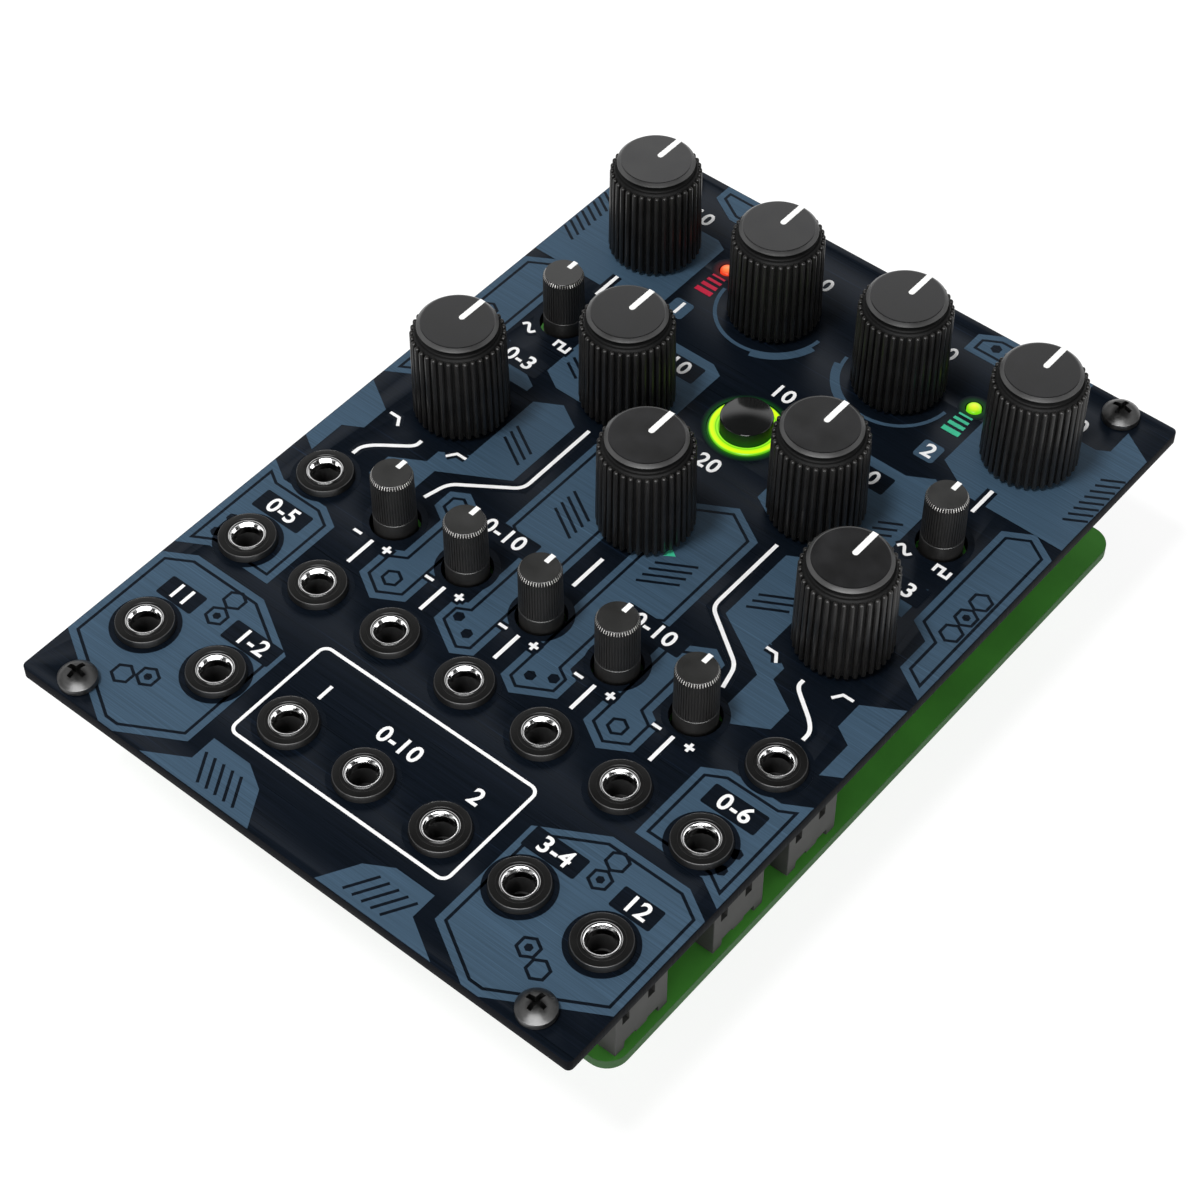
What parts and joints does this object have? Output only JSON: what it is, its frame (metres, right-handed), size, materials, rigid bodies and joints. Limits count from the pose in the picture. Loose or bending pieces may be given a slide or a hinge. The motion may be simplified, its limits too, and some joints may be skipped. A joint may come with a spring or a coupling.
{
  "type": "eurorack synthesizer module",
  "caption": "Eurorack modular synthesizer unit: a dark printed front panel with ribbed knobs, slim knurled knobs, an illuminated push button, lamps and patch jacks on a green circuit board.",
  "frame": {"origin": "On the front panel's back face where it lies on the lower rack rail, midway between the sides and 0.4 mm above the panel's lower edge", "axes": "+X to the right along the panel, +Y up the panel, +Z out of the front towards the player"},
  "size_m": [0.091, 0.1285, 0.0401],
  "materials": {
    "panel": "dark navy print on fine-brushed aluminium, satin",
    "board": "green solder mask on glass-fibre laminate",
    "knob": "black moulded plastic, satin top",
    "pot": "dark metal can",
    "jack": "black moulded housing with a black nut and a bright rim",
    "cap": "polished black",
    "ring": "translucent, lit lime green",
    "lens_red": "lit epoxy lens",
    "lens_green": "lit epoxy lens",
    "screw": "black zinc plated",
    "header": "black moulded plastic"
  },
  "bodies": {
    "module": {"front_panel": "panel", "circuit_board": "board", "power_header": "header", "light_ring": "ring", "switch_body": "header", "lamp_red": "lens_red", "lamp_green": "lens_green", "jack_bottom_1": "jack", "jack_bottom_2": "jack", "jack_bottom_3": "jack", "jack_bottom_4": "jack", "jack_bottom_5": "jack", "jack_bottom_6": "jack", "jack_bottom_7": "jack", "jack_middle_1": "jack", "jack_middle_2": "jack", "jack_middle_3": "jack", "jack_middle_4": "jack", "jack_middle_5": "jack", "jack_middle_6": "jack", "jack_middle_7": "jack", "jack_upper_1": "jack", "jack_upper_2": "jack", "large_pot_top_1": "pot", "large_pot_top_2": "pot", "large_pot_top_3": "pot", "large_pot_top_4": "pot", "large_pot_upper_1": "pot", "large_pot_upper_2": "pot", "large_pot_middle_1": "pot", "large_pot_middle_2": "pot", "large_pot_middle_3": "pot", "small_pot_side_1": "pot", "small_pot_side_2": "pot", "small_pot_lower_1": "pot", "small_pot_lower_2": "pot", "small_pot_lower_3": "pot", "small_pot_lower_4": "pot", "small_pot_lower_5": "pot", "screw_lower_left": "screw", "screw_lower_right": "screw", "screw_upper_left": "screw", "screw_upper_right": "screw"},
    "large_knob_top_1": {"large_knob_top_1": "knob"},
    "large_knob_top_2": {"large_knob_top_2": "knob"},
    "large_knob_top_3": {"large_knob_top_3": "knob"},
    "large_knob_top_4": {"large_knob_top_4": "knob"},
    "large_knob_upper_1": {"large_knob_upper_1": "knob"},
    "large_knob_upper_2": {"large_knob_upper_2": "knob"},
    "large_knob_middle_1": {"large_knob_middle_1": "knob"},
    "large_knob_middle_2": {"large_knob_middle_2": "knob"},
    "large_knob_middle_3": {"large_knob_middle_3": "knob"},
    "small_knob_side_1": {"small_knob_side_1": "knob"},
    "small_knob_side_2": {"small_knob_side_2": "knob"},
    "small_knob_lower_1": {"small_knob_lower_1": "knob"},
    "small_knob_lower_2": {"small_knob_lower_2": "knob"},
    "small_knob_lower_3": {"small_knob_lower_3": "knob"},
    "small_knob_lower_4": {"small_knob_lower_4": "knob"},
    "small_knob_lower_5": {"small_knob_lower_5": "knob"},
    "button": {"button_cap": "cap"}
  },
  "joints": [
    {"name": "large_knob_top_1_turn", "type": "hinge", "parent": "module", "child": "large_knob_top_1", "pos_m": [-0.03245, 0.11125, 0], "axis": [0, 0, 1], "range_deg": [-150, 150]},
    {"name": "large_knob_top_2_turn", "type": "hinge", "parent": "module", "child": "large_knob_top_2", "pos_m": [-0.0108, 0.11125, 0], "axis": [0, 0, 1], "range_deg": [-150, 150]},
    {"name": "large_knob_top_3_turn", "type": "hinge", "parent": "module", "child": "large_knob_top_3", "pos_m": [0.0108, 0.11125, 0], "axis": [0, 0, 1], "range_deg": [-150, 150]},
    {"name": "large_knob_top_4_turn", "type": "hinge", "parent": "module", "child": "large_knob_top_4", "pos_m": [0.03245, 0.11125, 0], "axis": [0, 0, 1], "range_deg": [-150, 150]},
    {"name": "large_knob_upper_1_turn", "type": "hinge", "parent": "module", "child": "large_knob_upper_1", "pos_m": [-0.0162, 0.08515, 0], "axis": [0, 0, 1], "range_deg": [-150, 150]},
    {"name": "large_knob_upper_2_turn", "type": "hinge", "parent": "module", "child": "large_knob_upper_2", "pos_m": [0.0162, 0.08515, 0], "axis": [0, 0, 1], "range_deg": [-150, 150]},
    {"name": "large_knob_middle_1_turn", "type": "hinge", "parent": "module", "child": "large_knob_middle_1", "pos_m": [-0.03245, 0.0693, 0], "axis": [0, 0, 1], "range_deg": [-150, 150]},
    {"name": "large_knob_middle_2_turn", "type": "hinge", "parent": "module", "child": "large_knob_middle_2", "pos_m": [0, 0.0693, 0], "axis": [0, 0, 1], "range_deg": [-150, 150]},
    {"name": "large_knob_middle_3_turn", "type": "hinge", "parent": "module", "child": "large_knob_middle_3", "pos_m": [0.03245, 0.0693, 0], "axis": [0, 0, 1], "range_deg": [-150, 150]},
    {"name": "small_knob_side_1_turn", "type": "hinge", "parent": "module", "child": "small_knob_side_1", "pos_m": [-0.03245, 0.091, 0], "axis": [0, 0, 1], "range_deg": [-150, 150]},
    {"name": "small_knob_side_2_turn", "type": "hinge", "parent": "module", "child": "small_knob_side_2", "pos_m": [0.03245, 0.091, 0], "axis": [0, 0, 1], "range_deg": [-150, 150]},
    {"name": "small_knob_lower_1_turn", "type": "hinge", "parent": "module", "child": "small_knob_lower_1", "pos_m": [-0.0254, 0.04805, 0], "axis": [0, 0, 1], "range_deg": [-150, 150]},
    {"name": "small_knob_lower_2_turn", "type": "hinge", "parent": "module", "child": "small_knob_lower_2", "pos_m": [-0.0127, 0.04805, 0], "axis": [0, 0, 1], "range_deg": [-150, 150]},
    {"name": "small_knob_lower_3_turn", "type": "hinge", "parent": "module", "child": "small_knob_lower_3", "pos_m": [0, 0.04805, 0], "axis": [0, 0, 1], "range_deg": [-150, 150]},
    {"name": "small_knob_lower_4_turn", "type": "hinge", "parent": "module", "child": "small_knob_lower_4", "pos_m": [0.0127, 0.04805, 0], "axis": [0, 0, 1], "range_deg": [-150, 150]},
    {"name": "small_knob_lower_5_turn", "type": "hinge", "parent": "module", "child": "small_knob_lower_5", "pos_m": [0.0254, 0.04805, 0], "axis": [0, 0, 1], "range_deg": [-150, 150]},
    {"name": "button_press", "type": "slide", "parent": "module", "child": "button", "axis": [0, 0, -1], "range_m": [0, 0.0005], "stiffness_N_per_m": 1500}
  ]
}
